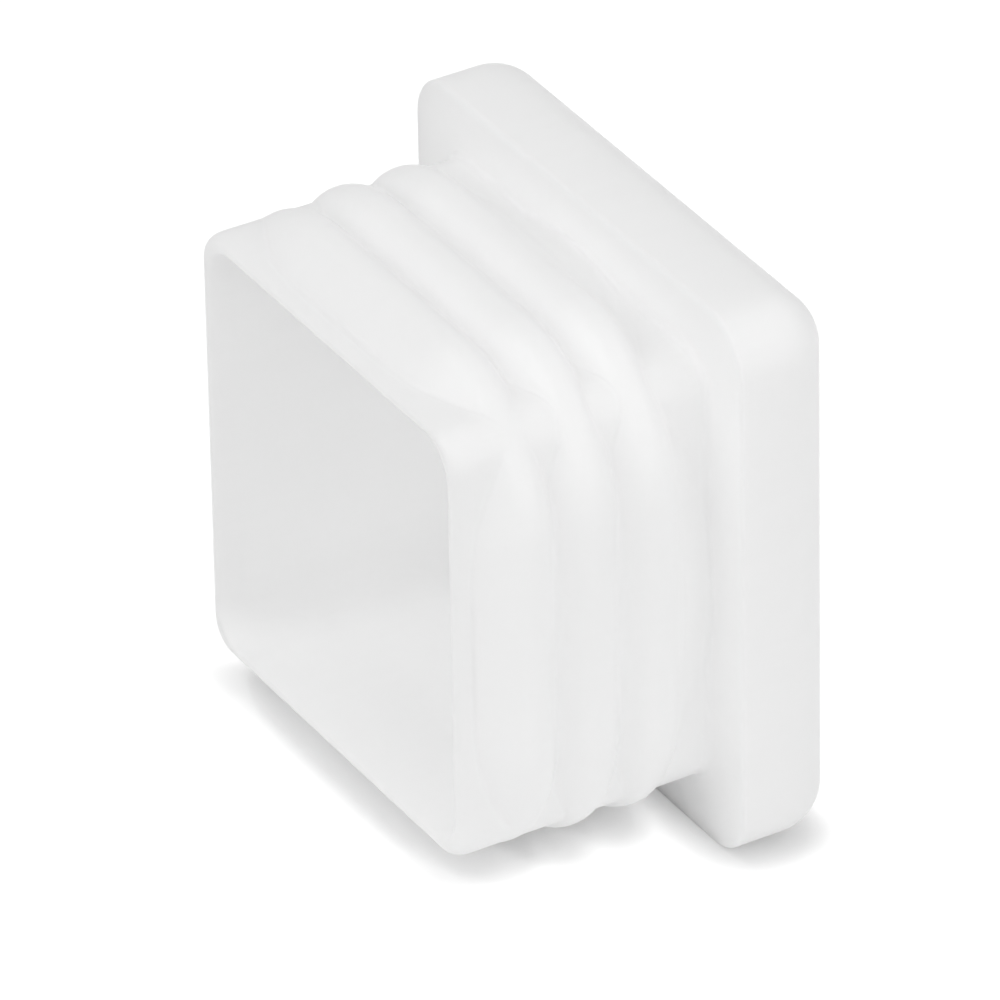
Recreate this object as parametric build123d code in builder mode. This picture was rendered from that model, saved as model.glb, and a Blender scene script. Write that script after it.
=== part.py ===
from build123d import *
from math import cos, radians, sin, tan
import os

# Square tube end cap, moulded in one piece: a hollow shank that presses into the
# tube, three gripping ribs round it, and a thick head that covers the tube's end.
#
# Frame: X is the axis of the tube. The shoulder, where the tube's end seats, is
# the plane X = 0. The shank's open mouth points to -X, the head's face to +X.

# ---- Driving dimensions, in millimetres and degrees ----

# Head, as large as the outside of the tube
head_side = 30.0
head_thickness = 5.5
head_corner_radius = 2.8
face_edge_radius = 2.7
shoulder_edge_radius = 0.2

# Shank, a little wider at its mouth than at its root
shank_length = 14.0
mouth_side = 23.9
mouth_flare = 0.1
shank_corner_radius = 1.87
root_fillet = 0.4

# Cavity, open at the mouth and closed by the head
wall = 1.2
cavity_into_head = 2.8
cavity_draft = 0.4
cavity_corner_radius = 1.3
cavity_floor_radius = 1.0
lip_outer_radius = 0.5
lip_inner_radius = 0.6

# Ribs. Their crests run round a square whose corners are far rounder than the
# shank's, so each rib stands highest along the middle of a side and sinks almost
# into the shank at its corners. The first rib is lower and has a gentler front.
rib_count = 3
rib_height = 2.1
first_rib_relief = 0.2
rib_crest_corner_radius = 8.2
first_rib_from_mouth = 3.57
last_rib_from_shoulder = 3.73
rib_tip_radius = 1.2
rib_flank_angle = 60.0
lead_in_angle = 40.0
rib_foot_depth = 0.3

# ---- Dependent dimensions ----

root_side = mouth_side - mouth_flare
cavity_side = mouth_side - 2 * wall
cavity_depth = shank_length + cavity_into_head
rib_base = root_side / 2 - rib_foot_depth
first_rib_x = -shank_length + first_rib_from_mouth
last_rib_x = -last_rib_from_shoulder
rib_pitch = (last_rib_x - first_rib_x) / (rib_count - 1)


def flank_points(direction, angle, crest):
    """Top and bottom point of one flank, tangent to the rounded tip of the rib."""
    tip_centre = crest - rib_tip_radius
    top = (direction * rib_tip_radius * sin(radians(angle)),
           tip_centre + rib_tip_radius * cos(radians(angle)))
    run = (top[1] - rib_base) / tan(radians(angle))
    bottom = (top[0] + direction * run, rib_base)
    return top, bottom


with BuildPart() as end_cap:
    # Shank: a square bar with rounded corners, hollowed further down
    with BuildSketch(Plane.YZ):
        RectangleRounded(root_side, root_side, shank_corner_radius)
    with BuildSketch(Plane.YZ.offset(-shank_length)):
        RectangleRounded(mouth_side, mouth_side, shank_corner_radius)
    loft()
    fillet(end_cap.faces().sort_by(Axis.X)[0].edges(), lip_outer_radius)

    # Head: a thick plate that overhangs the shank all round
    with BuildSketch(Plane.YZ):
        RectangleRounded(head_side, head_side, head_corner_radius)
    extrude(amount=head_thickness)
    fillet(end_cap.faces().sort_by(Axis.X)[-1].edges(), face_edge_radius)
    shoulder = end_cap.faces().filter_by(Plane.YZ).sort_by(Axis.X)[-2]
    fillet(shoulder.outer_wire().edges(), shoulder_edge_radius)
    fillet(shoulder.inner_wires()[0].edges(), root_fillet)

    # Ribs: a rounded V-shaped section carried round the shank
    for number in range(rib_count):
        rib_x = first_rib_x + number * rib_pitch
        is_first = number == 0
        crest = root_side / 2 + rib_height - (first_rib_relief if is_first else 0)
        front_angle = lead_in_angle if is_first else rib_flank_angle
        front_top, front_bottom = flank_points(-1, front_angle, crest)
        rear_top, rear_bottom = flank_points(1, rib_flank_angle, crest)

        base_radius = rib_crest_corner_radius - (crest - rib_base)
        with BuildSketch(Plane.YZ.offset(rib_x), mode=Mode.PRIVATE) as course:
            RectangleRounded(2 * rib_base, 2 * rib_base, base_radius)
        section_plane = Plane(origin=(rib_x, 0, 0), x_dir=(1, 0, 0), z_dir=(0, -1, 0))
        with BuildSketch(section_plane):
            with BuildLine():
                Line(front_bottom, front_top)
                ThreePointArc(front_top, (0, crest), rear_top)
                Line(rear_top, rear_bottom)
                Line(rear_bottom, front_bottom)
            make_face()
        sweep(path=course.sketch.face().outer_wire(), transition=Transition.RIGHT)

    # Cavity: drafted, with a rounded lip at the mouth and a rounded floor
    with BuildSketch(Plane.YZ.offset(-shank_length)):
        RectangleRounded(cavity_side, cavity_side, cavity_corner_radius)
    extrude(amount=cavity_depth, taper=cavity_draft, mode=Mode.SUBTRACT)
    mouth_face = end_cap.faces().sort_by(Axis.X)[0]
    fillet(mouth_face.inner_wires()[0].edges(), lip_inner_radius)
    cavity_floor = end_cap.faces().filter_by(Plane.YZ).sort_by(Axis.X)[-2]
    fillet(cavity_floor.edges(), cavity_floor_radius)

end_cap.part.label = "end_cap"

os.makedirs("parts", exist_ok=True)
export_step(end_cap.part, "parts/end_cap.step")
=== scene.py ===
# %% [markdown]
# # A square tube end cap, dressed for its portrait
#
# The part is a small plug of white plastic that closes the end of a square steel
# tube. It is one moulding: a hollow shank that presses into the tube, three
# rounded ribs that grip the tube's inner walls, and a thick head that covers the
# tube's cut end. This lesson loads the CAD model as a fixed frame, lays a finer
# surface over it, gives that surface a plastic finish, and lights it softly.

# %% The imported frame
import bpy
import math
import numpy as np
from mathutils import Matrix, Vector


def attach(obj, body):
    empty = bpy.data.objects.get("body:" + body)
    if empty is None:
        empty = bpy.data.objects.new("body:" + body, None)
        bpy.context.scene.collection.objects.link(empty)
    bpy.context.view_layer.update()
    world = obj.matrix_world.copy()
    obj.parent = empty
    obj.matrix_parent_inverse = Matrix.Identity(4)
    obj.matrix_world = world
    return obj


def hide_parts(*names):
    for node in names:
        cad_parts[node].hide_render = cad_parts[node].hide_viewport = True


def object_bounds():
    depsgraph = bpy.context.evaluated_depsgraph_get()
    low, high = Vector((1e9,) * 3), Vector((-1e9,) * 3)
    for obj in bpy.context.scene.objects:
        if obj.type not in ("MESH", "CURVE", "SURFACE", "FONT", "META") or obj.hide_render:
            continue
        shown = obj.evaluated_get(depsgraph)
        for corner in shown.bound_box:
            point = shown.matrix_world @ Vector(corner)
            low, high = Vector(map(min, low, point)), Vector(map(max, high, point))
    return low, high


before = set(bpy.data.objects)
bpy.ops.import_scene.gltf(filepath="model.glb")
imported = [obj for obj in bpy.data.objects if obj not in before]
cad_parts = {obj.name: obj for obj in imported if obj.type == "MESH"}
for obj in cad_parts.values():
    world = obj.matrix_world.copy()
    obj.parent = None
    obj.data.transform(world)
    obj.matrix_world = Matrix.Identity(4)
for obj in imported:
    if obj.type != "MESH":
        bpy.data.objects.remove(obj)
cad_low, cad_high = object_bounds()

# %% [markdown]
# ## Sizes
#
# X is the tube's axis. The shoulder, where the tube's end seats, is the plane
# X = 0, the open mouth is at -X and the head's face at +X. The overall sizes come
# from the frame, and the others are the solid's, except where the solid is kept
# simpler: the tips and slopes of the ribs, the webs at their feet, and the mouth,
# where the wall thins here towards a softer lip that ends 0.1 mm short of the
# solid's.
# They are written in millimetres, because that is how a maker of mouldings thinks
# of them. They become metres only when a mesh is made.

# %% Sizes of the moulding, in millimetres
head_half, head_thickness = round(1000 * cad_high[1], 3), round(1000 * cad_high[0], 3)
head_corner, face_edge, shoulder_edge = 2.8, 2.7, 0.2

lip_short = 0.1
shank_length = round(-1000 * cad_low[0], 3) - lip_short
mouth_half, root_half, shank_corner, root_fillet = 11.95, 11.90, 1.87, 0.4
wall, cavity_into_head, cavity_corner, floor_fillet = 0.95, 2.8, 1.8, 1.0
lip_outer, lip_inner = 0.5, 0.45
outer_run, inner_run = 0.9, 1.4

rib_places = (-10.43, -7.08, -3.73)
rib_crests = (13.8, 14.0, 14.0)
rib_outline_corner, rib_tip = 8.2, 1.25
narrow_web, wide_web, rear_web = 0.06, 1.3, 3.2
print("head:", 2 * head_half, "mm square, shank:", shank_length, "mm long, ribs:", len(rib_places))

# %% Slopes, in degrees
cavity_draft = 1.25
side_flank, corner_flank = 50.0, 60.0
side_lead_in, corner_lead_in = 38.0, 52.0
print("flanks:", side_flank, "to", corner_flank, "degrees, lead-in:", side_lead_in, "to", corner_lead_in)

# %% [markdown]
# ## Going round a rounded square
#
# Every cross-section of the cap is a square with rounded corners. One function
# gives its distance from the axis in any direction, so that a whole ring of
# points is one array. The directions are packed closer together near the
# corners, where the outline turns, than along the flat sides.

# %% Directions and the rounded square
points_round = 400


def directions(count):
    """Angles round the axis. Over each quarter turn the step is a third as long at the corners
    as in the middle of a side: angle = 90 (q - 1/2) + 45 / (2 pi) sin(2 pi (q - 1/2)) degrees,
    where q runs from 0 to 1 over the quarter."""
    q = (np.arange(count) % (count // 4)) / (count // 4)
    quarters = np.arange(count) // (count // 4)
    eased = (q - 0.5) + 0.5 / (2 * np.pi) * np.sin(2 * np.pi * (q - 0.5))
    return np.pi / 2 * (quarters + eased)


def reach(half, corner, angle):
    """Distance from the axis to a rounded square. Folded into an eighth of a turn, a ray
    meets the flat side at half / cos(angle), or the corner's circle, whose centre (c, c)
    has c = half - corner, at c (cos + sin) + root(corner^2 - c^2 (1 - sin 2 angle))."""
    folded = np.abs((angle + np.pi / 4) % (np.pi / 2) - np.pi / 4)
    centre = half - corner
    flat = half / np.cos(folded)
    under_root = corner ** 2 - centre ** 2 * (1 - np.sin(2 * folded))
    arc = centre * (np.cos(folded) + np.sin(folded)) + np.sqrt(np.maximum(under_root, 0))
    return np.where(half * np.tan(folded) <= centre, flat, arc)


around = directions(points_round)
print("directions:", len(around), "steps from", round(float(np.degrees(np.diff(around)).min()), 2),
      "to", round(float(np.degrees(np.diff(around)).max()), 2), "degrees")

# %% [markdown]
# ## The ribs
#
# Each rib is a rounded V carried round a square whose corners are far rounder
# than the shank's. So a rib stands 2 mm proud in the middle of a side and almost
# sinks into the shank at its corners, which is what lets the corners of the cap
# slide into the tube. The ribs could be separate rings, but on the real moulding
# they flow into the wall. A soft maximum of the shank's and the ribs' distances
# gives that: where two of them are close, it adds a small rounded web.

# %% A rib's outline and section
def side_share(angle):
    """1 in the middle of a side and 0 at a corner: |cos 2 angle|."""
    return np.abs(np.cos(2 * angle))


def rib_drop(along, front_slope, rear_slope):
    """How far the rib's surface lies below its crest. Within the rounded tip it is
    tip - root(tip^2 - along^2), and beyond that it falls along the straight flank."""
    slope = np.radians(np.where(along < 0, front_slope, rear_slope))
    out = np.abs(along)
    tip = rib_tip - np.sqrt(np.maximum(rib_tip ** 2 - out ** 2, 0))
    flank = out * np.tan(slope) - rib_tip * (1 / np.cos(slope) - 1)
    return np.where(out < rib_tip * np.sin(slope), tip, flank)


# %% [markdown]
# ## Blending ribs and wall
#
# A plain maximum would leave a knife-sharp crease wherever a rib meets the wall.
# The soft maximum fills such a crease with a web whose width can change from
# place to place: wide in the middle of a side, narrow at the corners, where the
# real moulding's creases are crisp.

# %% The shank's outer surface
mouth_fade, rear_fade, web_falloff, drop_limit = 1.8, 1.5, 1.5, 4.0


def soft_max(a, b, web):
    """The larger of a and b, plus (web - |a - b|)^2 / (4 web) where they are closer than web."""
    return np.maximum(a, b) + np.maximum(web - np.abs(a - b), 0) ** 2 / (4 * web)


def shank_reach(along, angle):
    """Distance from the axis to the outside of the shank: the soft maximum of the plain
    wall, which is a rounded square, and of the three ribs. The wall ends at the shoulder
    in a fillet, fillet - root(fillet^2 - into^2). The web widens from the lip inwards over
    mouth_fade and once more behind the last rib over rear_fade, and it thins towards the
    corners as side_share to the power web_falloff."""
    into = np.clip(along + root_fillet, 0, root_fillet)
    rise = root_fillet - np.sqrt(root_fillet ** 2 - into ** 2)
    half = root_half + (mouth_half - root_half) * (-along) / shank_length + rise
    surface = reach(half, shank_corner + rise, angle)
    share = side_share(angle)
    from_mouth = np.clip((along + shank_length - outer_run) / mouth_fade, 0, 1)
    behind = np.clip((along - rib_places[-1]) / rear_fade, 0, 1)
    web = wide_web * from_mouth ** 2 * (3 - 2 * from_mouth) + behind * (rear_web - wide_web)
    web = narrow_web + share ** web_falloff * web
    flank = corner_flank + (side_flank - corner_flank) * share
    ramp = corner_lead_in + (side_lead_in - corner_lead_in) * share
    for place, crest in zip(rib_places, rib_crests):
        front = ramp if place == rib_places[0] else flank
        drop = np.minimum(rib_drop(along - place, front, flank), drop_limit)
        surface = soft_max(surface, reach(crest - drop, rib_outline_corner - drop, angle), web)
    return surface


# %% [markdown]
# ## The whole skin as one path of rings
#
# The skin starts at the middle of the cavity's floor, climbs the inner wall,
# turns over the lip, runs back along the ribbed shank, out over the shoulder,
# round the head and ends at the middle of the outer face. Written as a list of
# rings, each with its place along X, its half side and its corner radius, it is
# one closed surface with no seam between inside and outside.

# %% Quarter turns and rows of rings
def quarter(count):
    """Angles of a quarter turn, both ends left in."""
    return np.linspace(0, np.pi / 2, count)


def ring_list(x, half, corner):
    """Rows of (x, half side, corner radius), each stretched to the longest of the three."""
    return np.stack(np.broadcast_arrays(*map(np.asarray, (x, half, corner))), -1).astype(float)


shrink = np.array([0.06, 0.2, 0.4, 0.6, 0.8, 0.93, 0.995])
print("flat ends: rings at", shrink, "of their half side")

# %% [markdown]
# ## Inside: floor, wall and lip
#
# The cavity widens towards the mouth, so that the steel core could be pulled out
# of it. Its half side at any place along X follows from the draft. Here and on the
# head, a ring stands about a twentieth of a millimetre from each end of a straight
# stretch, which keeps the shading flat there, so that only the rounded edges turn.

# %% Rings of the cavity
close = 0.05
floor_centre_corner = 0.35
floor_x, mouth_inner = cavity_into_head, mouth_half - wall
wall_end, lip_start = floor_x - floor_fillet, -shank_length + inner_run


def narrowing(x):
    """How much the cavity's half side has shrunk at x: distance from the mouth times tan(draft)."""
    return (x + shank_length) * math.tan(math.radians(cavity_draft))


turn = quarter(9)
sine, cosine = np.sin(turn), np.cos(turn)
flat_half = mouth_inner - narrowing(floor_x) - floor_fillet
cavity_floor = ring_list(floor_x, flat_half * shrink, floor_centre_corner * shrink)
floor_corner = cavity_corner - narrowing(floor_x)
floor_round = ring_list(floor_x - floor_fillet * (1 - cosine),
                        flat_half + floor_fillet * sine,
                        floor_centre_corner + (floor_corner - floor_centre_corner) * sine)
wall_x = np.r_[wall_end - close, np.linspace(wall_end - 1.0, lip_start + 0.5, 12),
               lip_start + close, lip_start]
inner_wall = ring_list(wall_x, mouth_inner - narrowing(wall_x), cavity_corner - narrowing(wall_x))
inner_lip = ring_list(lip_start - inner_run * sine[1:],
                      mouth_inner + lip_inner * (1 - cosine[1:]),
                      cavity_corner + lip_inner * (1 - cosine[1:]))
outer_lip = ring_list(-shank_length + outer_run * (1 - cosine),
                      mouth_half - lip_outer * (1 - sine),
                      shank_corner - lip_outer * (1 - sine))
print("cavity:", round(2 * mouth_inner, 2), "mm wide at the mouth,",
      round(2 * (flat_half + floor_fillet), 2), "mm at the floor")

# %% [markdown]
# ## Outside: shoulder, side and face of the head
#
# The head is a thick plate. Its shoulder has only a small edge, because the
# tube's end lies against it, and its face has a large round edge, which is what
# hands and clothes meet. Both edges are quarter circles.

# %% Rings of the head
shoulder_corner_share, face_centre_corner = 0.28, 0.1
shoulder_inset = np.array([2.3, 1.5, 0.8, 0.3, shoulder_edge + 0.04])
shoulder = ring_list(0.0, head_half - shoulder_inset,
                     head_corner - shoulder_corner_share * shoulder_inset)
turn = quarter(6)
inset = shoulder_edge * (1 - np.sin(turn))
shoulder_round = ring_list(shoulder_edge * (1 - np.cos(turn)), head_half - inset, head_corner - inset)
side_x = np.array([shoulder_edge + 0.04, 0.8, 1.5, 2.2, head_thickness - face_edge - close])
head_side = ring_list(side_x, head_half, head_corner)
turn = quarter(22)
inset = face_edge * (1 - np.cos(turn))
face_round = ring_list(head_thickness - face_edge * (1 - np.sin(turn)),
                       head_half - inset, head_corner - inset)
outer_face = ring_list(head_thickness, (head_half - face_edge) * shrink[::-1],
                       face_centre_corner * shrink[::-1])
before_shank = (cavity_floor, floor_round, inner_wall, inner_lip, outer_lip)
after_shank = (shoulder, shoulder_round, head_side, face_round, outer_face)
print("rings without the shank:", sum(map(len, before_shank + after_shank)))

# %% [markdown]
# ## From rings to a mesh
#
# The plain rings go through the rounded square's formula. The shank's rings go
# through the ribbed one, and stand closer together because the ribs are small.
# Stacked, they are a grid of ring by direction. A single point closes each end.

# %% The skin's mesh
def turned(x, distance, angle):
    """A grid of points (x, distance cos angle, distance sin angle), ring by direction."""
    return np.stack(np.broadcast_arrays(x, distance * np.cos(angle), distance * np.sin(angle)), -1)


def plain_rings(rows, angle):
    """Points of the plain rings, from the reach of each row's rounded square."""
    x, half, corner = (rows[:, k, None] for k in range(3))
    return turned(x, reach(half, corner, angle), angle)


def shank_rings(places, angle):
    """Points of the ribbed rings, from the shank's own reach."""
    x = places[:, None]
    return turned(x, shank_reach(x, angle), angle)


def skin(name, grid, first_point, last_point):
    """A mesh from a grid of rings: quads between neighbouring rings and directions, and a
    fan of triangles to one point at each end. The mesh is in metres."""
    rings, count = grid.shape[:2]
    points = np.concatenate([grid.reshape(-1, 3), first_point[None], last_point[None]]) / 1000
    ring = np.arange(count)
    after = (ring + 1) % count
    start = np.arange(rings - 1)[:, None] * count
    quads = np.stack([start + ring, start + count + ring, start + count + after, start + after], -1)
    quads = quads.reshape(-1, 4)
    low = np.stack([np.full(count, rings * count), ring, after], -1)
    top = (rings - 1) * count
    high = np.stack([np.full(count, rings * count + 1), top + after, top + ring], -1)
    mesh = bpy.data.meshes.new(name)
    mesh.from_pydata(points.tolist(), [], quads.tolist() + low.tolist() + high.tolist())
    mesh.polygons.foreach_set("use_smooth", np.ones(len(mesh.polygons), bool))
    mesh.update()
    piece = bpy.data.objects.new(name, mesh)
    bpy.context.scene.collection.objects.link(piece)
    return piece


ribbed_rings = 140
shank_x = np.r_[np.linspace(-shank_length + outer_run, -root_fillet, ribbed_rings)[1:],
                -root_fillet * (1 - np.sin(quarter(9)[1:]))]
grid = np.concatenate([plain_rings(rows, around) for rows in before_shank]
                      + [shank_rings(shank_x, around)]
                      + [plain_rings(rows, around) for rows in after_shank])
cap = skin("cap_skin", grid, np.array([floor_x, 0.0, 0.0]), np.array([head_thickness, 0.0, 0.0]))
print("cap_skin:", len(cap.data.vertices), "points,", len(cap.data.polygons), "faces")

# %% [markdown]
# ## Turning it the right way out
#
# A closed skin encloses a volume, and the sum of its faces' signed cones says
# which way they point. If the sum is negative, all the faces are flipped.

# %% Outward faces and enclosed volume
def enclosed(mesh):
    """Signed volume: a sixth of the sum over triangles of a . (b x c)."""
    mesh.calc_loop_triangles()
    corners = np.empty(len(mesh.loop_triangles) * 3, np.int32)
    mesh.loop_triangles.foreach_get("vertices", corners)
    place = np.empty(len(mesh.vertices) * 3)
    mesh.vertices.foreach_get("co", place)
    a, b, c = place.reshape(-1, 3)[corners.reshape(-1, 3)].transpose(1, 0, 2)
    return float(np.einsum("ij,ij->", a, np.cross(b, c)) / 6)


volume = enclosed(cap.data)
if volume < 0:
    cap.data.flip_normals()
print("volume in mm3:", round(abs(volume) * 1e9, 1), "triangles:", len(cap.data.loop_triangles))

# %% [markdown]
# ## It rides on the frame
#
# The cap has no joints, so its only body is the root. The skin stands for the
# CAD node, which is hidden but stays the frame's truth.

# %% Riding on the root
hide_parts("end_cap")
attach(cap, "root")

# %% [markdown]
# ## Rubbed ribs
#
# The ribs are what touches the tube, the packing and the fingers, so their crests
# and the head's rounded edges are a touch smoother than the sides. A pattern that
# follows the shape can't come from a texture. It is worked out point by point and
# kept on the mesh as an attribute, from 0 in the hollows to 1 on the crests.

# %% How rubbed each point is
def rubbed_amount(points):
    """On the shank: how far a point stands out of the plain wall, from 0.3 to 2 mm. On the
    head: how near it is to the rounded edge of the face, 1 where the edge turns most."""
    x, y, z = points.T * 1000
    stands = np.hypot(y, z) - reach(root_half, shank_corner, np.arctan2(z, y))
    on_rib = np.clip((stands - 0.3) / 1.7, 0, 1) * (x < 0) * (x > -shank_length)
    turn_x = (x - (head_thickness - face_edge)) / face_edge
    turn_side = (np.maximum(np.abs(y), np.abs(z)) - (head_half - face_edge)) / face_edge
    on_edge = np.clip(4 * turn_x * turn_side, 0, 1) * (turn_x > 0) * (turn_side > 0)
    return np.maximum(on_rib, on_edge).astype(np.float32)


coordinates = np.empty(3 * len(cap.data.vertices), np.float32)
cap.data.vertices.foreach_get("co", coordinates)
rubbed = rubbed_amount(coordinates.reshape(-1, 3))
cap.data.attributes.new("rubbed", "FLOAT", "POINT").data.foreach_set("value", rubbed)
print("points that are more than half rubbed:", int((rubbed > 0.5).sum()), "of", len(rubbed))

# %% [markdown]
# ## Two words for node trees
#
# Every finish here is made of a few nodes that stretch a value to a new range or
# put two values together. A short function for each keeps the recipes readable.
# Both add their node to the tree that the value comes from.

# %% Stretching and combining values
def remap(value, low, high, new_low, new_high):
    """Carry a value from low..high to new_low..new_high, and hold it at the ends."""
    tree = value.id_data
    node = tree.nodes.new("ShaderNodeMapRange")
    numbers = {"From Min": low, "From Max": high, "To Min": new_low, "To Max": new_high}
    for name, number in numbers.items():
        node.inputs[name].default_value = number
    tree.links.new(value, node.inputs["Value"])
    return node.outputs["Result"]


def combine(operation, first, second):
    """One Math node on a value and either another value or a plain number."""
    tree = first.id_data
    node = tree.nodes.new("ShaderNodeMath")
    node.operation = operation
    tree.links.new(first, node.inputs[0])
    if isinstance(second, (int, float)):
        node.inputs[1].default_value = second
    else:
        tree.links.new(second, node.inputs[1])
    return node.outputs[0]


# %% [markdown]
# ## The plastic
#
# The cap is milky polyethylene: satin, white and a little translucent, so that
# light goes into the thin walls and comes out nearby, and the creases between
# the ribs never go dark. Subsurface scattering over about 3 mm does that. A paint
# would be simpler, but it looks like plaster in the creases. The plain numbers
# stand on the shader's own sockets.

# %% Plastic material
plastic = bpy.data.materials.new("milky_plastic")
plastic.use_nodes = True
nodes, links = plastic.node_tree.nodes, plastic.node_tree.links
shader = nodes["Principled BSDF"]
shader.inputs["Subsurface Weight"].default_value = 0.75
shader.inputs["Subsurface Radius"].default_value = (1.0, 1.0, 1.0)
shader.inputs["Subsurface Scale"].default_value = 0.003
shader.inputs["IOR"].default_value = 1.5
place_on_piece = nodes.new("ShaderNodeTexCoord")


def noise(scale, detail, stretch=(1, 1, 1)):
    """A noise on Object coordinates, in metres: a scale of 1000 has features 1 mm wide."""
    squeeze = nodes.new("ShaderNodeMapping")
    squeeze.inputs["Scale"].default_value = stretch
    texture = nodes.new("ShaderNodeTexNoise")
    texture.inputs["Scale"].default_value = scale
    texture.inputs["Detail"].default_value = detail
    links.new(place_on_piece.outputs["Object"], squeeze.inputs["Vector"])
    links.new(squeeze.outputs["Vector"], texture.inputs["Vector"])
    return texture.outputs["Fac"]


print("plastic: lets", shader.inputs["Subsurface Weight"].default_value, "of its light in")

# %% [markdown]
# ## Clouds, flow and specks
#
# White pellets never melt to one even white. There are faint clouds a few
# millimetres wide, and fainter streaks drawn out along X, the way the melt ran
# from the head down into the thin shank. Here and there a burnt or dusty grain
# less than a quarter of a millimetre wide is caught in the skin: a Voronoi cell's
# centre, kept only where the cell's own random number is high.

# %% Colour of the plastic
clouds = remap(noise(230, 3), 0.3, 0.7, 0.980, 0.994)
streaks = remap(noise(700, 2, (0.12, 1, 1)), 0.3, 0.7, -0.004, 0.006)
tone = combine("ADD", clouds, streaks)
cells = nodes.new("ShaderNodeTexVoronoi")
cells.inputs["Scale"].default_value = 150
links.new(place_on_piece.outputs["Object"], cells.inputs["Vector"])
cell_number = nodes.new("ShaderNodeSeparateColor")
links.new(cells.outputs["Color"], cell_number.inputs["Color"])
grain = remap(cells.outputs["Distance"], 0.010, 0.017, 1.0, 0.0)
chosen = remap(cell_number.outputs["Red"], 0.55, 0.60, 0.0, 1.0)
speck_depth = 0.30
tone = combine("SUBTRACT", tone, combine("MULTIPLY", combine("MULTIPLY", grain, chosen), speck_depth))
colour = nodes.new("ShaderNodeCombineColor")
for channel in ("Red", "Green", "Blue"):
    links.new(tone, colour.inputs[channel])
links.new(colour.outputs["Color"], shader.inputs["Base Color"])
print("colour: clouds, streaks and specks in", len(nodes), "nodes")

# %% [markdown]
# ## Satin skin
#
# The mould's steel is stoned, not polished, and its fine grain is printed on the
# plastic. Two bumps stand for that: the grain, a fifth of a millimetre wide and a
# few thousandths high, and the slow waves left as thick places cool and shrink.
# Roughness wanders a little from place to place, and the rubbed crests are smoother.

# %% Roughness and bump
satin = remap(noise(420, 4), 0.3, 0.7, 0.42, 0.54)
worn = nodes.new("ShaderNodeAttribute")
worn.attribute_name = "rubbed"
smoother = remap(noise(900, 3, (0.4, 1, 1)), 0.35, 0.65, 0.03, 0.12)
rub = combine("MULTIPLY", worn.outputs["Fac"], smoother)
links.new(combine("SUBTRACT", satin, rub), shader.inputs["Roughness"])


def bump(height, distance, strength=0.6):
    """A bump as high as a distance in metres where the height is 1, softened by its strength."""
    node = nodes.new("ShaderNodeBump")
    node.inputs["Distance"].default_value = distance
    node.inputs["Strength"].default_value = strength
    links.new(height, node.inputs["Height"])
    return node


fine = bump(noise(5200, 2), 0.000005)
slow = bump(noise(190, 1), 0.00004)
links.new(fine.outputs["Normal"], slow.inputs["Normal"])
links.new(slow.outputs["Normal"], shader.inputs["Normal"])
cap.data.materials.append(plastic)
print("plastic:", len(nodes), "nodes")

# %% [markdown]
# ## The floor
#
# Laid on a table, the cap doesn't stand with its axis level: it leans on the
# head's lower edge and on the first rib. The model keeps its own frame, so it is
# the floor that leans, by the angle of the line that touches both rounded edges.

# %% The leaning floor
head_edge = np.array([shoulder_edge, -(head_half - shoulder_edge)])
rib_centre = np.array([rib_places[0], -(rib_crests[0] - rib_tip)])
steepest, tries = 20, 20001
lean = np.radians(np.linspace(0, steepest, tries))
down = np.stack([-np.sin(lean), -np.cos(lean)])
head_depth, rib_depth = head_edge @ down + shoulder_edge, rib_centre @ down + rib_tip
pick = int(np.argmin(np.abs(head_depth - rib_depth)))
lean_angle, depth = float(lean[pick]), float(head_depth[pick])
print("floor leans by", round(math.degrees(lean_angle), 2), "degrees and passes",
      round(depth, 3), "mm from the origin")


def floor_height(x):
    """Height of the floor in mm under a place x: the line -x sin(lean) - z cos(lean) = depth."""
    return -(depth + x * math.sin(lean_angle)) / math.cos(lean_angle)


floor_reach = 150.0
corners = [(floor_reach * x, floor_reach * y, floor_height(floor_reach * x))
           for x, y in ((-1, -1), (1, -1), (1, 1), (-1, 1))]
floor_mesh = bpy.data.meshes.new("floor")
floor_mesh.from_pydata((np.array(corners) / 1000).tolist(), [], [(0, 1, 2, 3)])
floor = bpy.data.objects.new("floor", floor_mesh)
bpy.context.scene.collection.objects.link(floor)

# %% [markdown]
# ## White paper with a painted shadow
#
# The floor is matt white paper that throws light up under the cap and takes its real
# shadow. To a ray that looks straight at it, from the camera or off a gloss, it is
# painted a little greyer, and it glows where nothing stands close to it. So the open
# paper reaches white while a painted shadow, tighter and darker than the real one,
# hugs the cap. The Ambient Occlusion node measures how much of the space within two
# millimetres is free, and so sets the painted shadow. Seen from below the paper is not there.

# %% Rays that look straight at the backdrop
def straight_look(tree):
    """A value that is 1 for the camera's own rays and for mirrored and refracted ones, else 0."""
    rays = tree.nodes.new("ShaderNodeLightPath").outputs
    mirrored_too = combine("MAXIMUM", rays["Is Camera Ray"], rays["Is Glossy Ray"])
    return combine("MAXIMUM", mirrored_too, rays["Is Transmission Ray"])


# %% Paper material
# The second grey is painted shade that only straight looks see, and the glow numbers set a painted
# shadow round the cap.
paper_white, paper_seen_painted_grey = 0.92, 0.80
painted_shadow_reach, painted_shadow_from, painted_glow_strength = 0.0022, 0.45, 0.50
paper = bpy.data.materials.new("white_paper_painted_shadow")
paper.use_nodes = True
nodes, links = paper.node_tree.nodes, paper.node_tree.links
nodes.clear()
look = straight_look(paper.node_tree)

matt = nodes.new("ShaderNodeBsdfDiffuse")
links.new(remap(look, 0.0, 1.0, paper_white, paper_seen_painted_grey), matt.inputs["Color"])
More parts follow.
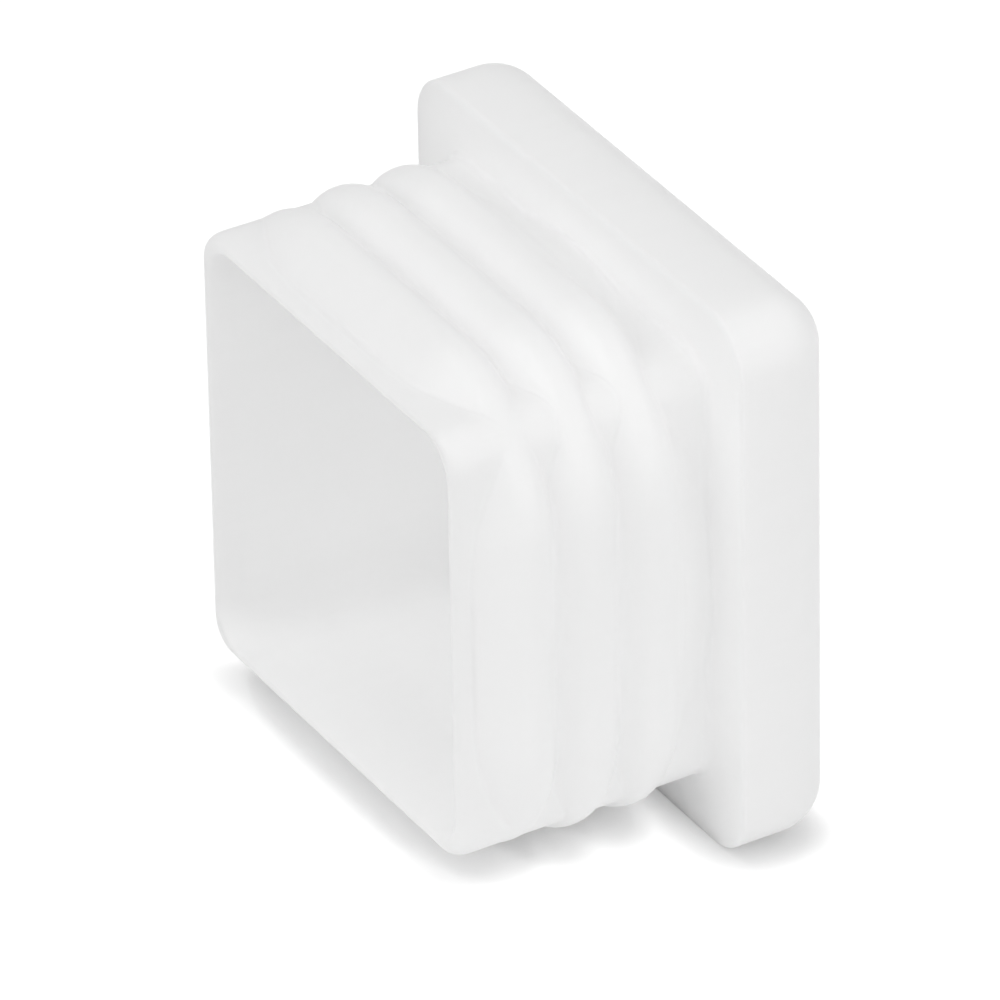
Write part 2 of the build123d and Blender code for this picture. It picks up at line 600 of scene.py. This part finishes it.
# The glow is painted light that fades within about two millimetres of the cap, which paints a shadow
# there.
painted_shadow_openness = nodes.new("ShaderNodeAmbientOcclusion")
painted_shadow_openness.samples = 2
painted_shadow_openness.inputs["Distance"].default_value = painted_shadow_reach
painted_glow_amount = remap(painted_shadow_openness.outputs["AO"], painted_shadow_from, 1.0, 0.0, painted_glow_strength)
glow = nodes.new("ShaderNodeEmission")
links.new(combine("MULTIPLY", painted_glow_amount, look), glow.inputs["Strength"])
both = nodes.new("ShaderNodeAddShader")
links.new(matt.outputs[0], both.inputs[0])
links.new(glow.outputs[0], both.inputs[1])

# %% Nothing from below
side_seen = nodes.new("ShaderNodeNewGeometry")
nothing = nodes.new("ShaderNodeBsdfTransparent")
choose = nodes.new("ShaderNodeMixShader")
surface = nodes.new("ShaderNodeOutputMaterial")
links.new(combine("MULTIPLY", side_seen.outputs["Backfacing"], look), choose.inputs["Fac"])
links.new(both.outputs[0], choose.inputs[1])
links.new(nothing.outputs[0], choose.inputs[2])
links.new(choose.outputs[0], surface.inputs["Surface"])
floor_mesh.materials.append(paper)
print("paper:", len(nodes), "nodes, shadow hugs the cap within", 1000 * painted_shadow_reach, "mm")

# %% [markdown]
# ## A light tent
#
# A product like this is lit inside a tent of white cloth. The sky is even and
# dim, and to a straight look it is plain white. Four large soft boxes make most of
# the light: one above the mouth, one beside the viewer, one at the right and one
# above the head. They are as big as they are far, so that no edge of a shadow is
# hard. Light that bounces many times inside the white cavity matters here, so
# more bounces than usual are followed.

# %% Sky
sky_light, sky_seen = 0.39, 1.0
world = bpy.data.worlds.new("tent")
bpy.context.scene.world = world
world.use_nodes = True
background = world.node_tree.nodes["Background"]
background.inputs["Color"].default_value = (1, 1, 1, 1)
strength = remap(straight_look(world.node_tree), 0.0, 1.0, sky_light, sky_seen)
world.node_tree.links.new(strength, background.inputs["Strength"])
bpy.context.scene.cycles.diffuse_bounces = 16
bpy.context.scene.cycles.max_bounces = 24
print("sky: lights with", sky_light, "and looks like", sky_seen)


# %% Soft boxes
def soft_box(name, direction, power, distance=0.5, side=0.5):
    """A square lamp of a side in metres, at a distance along a direction, facing the cap."""
    lamp = bpy.data.lights.new(name, "AREA")
    lamp.shape, lamp.size, lamp.energy = "SQUARE", side, power
    holder = bpy.data.objects.new(name, lamp)
    bpy.context.scene.collection.objects.link(holder)
    toward = Vector(direction).normalized()
    holder.location = toward * distance
    holder.rotation_euler = toward.to_track_quat("Z", "Y").to_euler()
    print(name, "gives", power, "W")


soft_box("front_top_box", (-0.7, 0.05, 0.7), 0.98)
soft_box("viewer_box", (-0.43, -0.73, 0.53), 0.32)
soft_box("right_box", (0.3, -0.85, 0.2), 0.57)
soft_box("rear_top_box", (0.6, -0.2, 0.75), 0.49)

# %% [markdown]
# ## Camera
#
# A long lens far away, with its place and roll worked out from the cap's own
# edges. It is long so that parallel edges stay nearly parallel, as they do in
# catalogue pictures of small parts. Its distance and its shift to the left and
# down are counted in widths of the head.

# %% Camera
azimuth, elevation, roll = map(math.radians, (-30.267962, 32.325038, -1.047686))
heads_away, heads_left, heads_down = 19.31723, 0.12638, 0.058797
back = Vector((math.sin(azimuth) * math.cos(elevation),
               -math.cos(azimuth) * math.cos(elevation),
               math.sin(elevation)))
right = Vector((math.cos(azimuth), math.sin(azimuth), 0))
up = back.cross(right)
right_rolled = right * math.cos(roll) + up * math.sin(roll)
up_rolled = up * math.cos(roll) - right * math.sin(roll)
eye = back * heads_away - right_rolled * heads_left - up_rolled * heads_down
eye *= 2 * head_half / 1000
camera_data = bpy.data.cameras.new("camera")
camera_data.sensor_width, camera_data.lens = 36, 433.034
camera_data.clip_start, camera_data.clip_end = 0.01, 10
camera = bpy.data.objects.new("camera", camera_data)
bpy.context.scene.collection.objects.link(camera)
camera.matrix_world = Matrix(((right_rolled.x, up_rolled.x, back.x, eye.x),
                              (right_rolled.y, up_rolled.y, back.y, eye.y),
                              (right_rolled.z, up_rolled.z, back.z, eye.z),
                              (0, 0, 0, 1)))
bpy.context.scene.camera = camera
bpy.context.scene.view_settings.view_transform = "Standard"
print("camera:", round(eye.length, 3), "m away with a lens of", round(camera_data.lens), "mm")
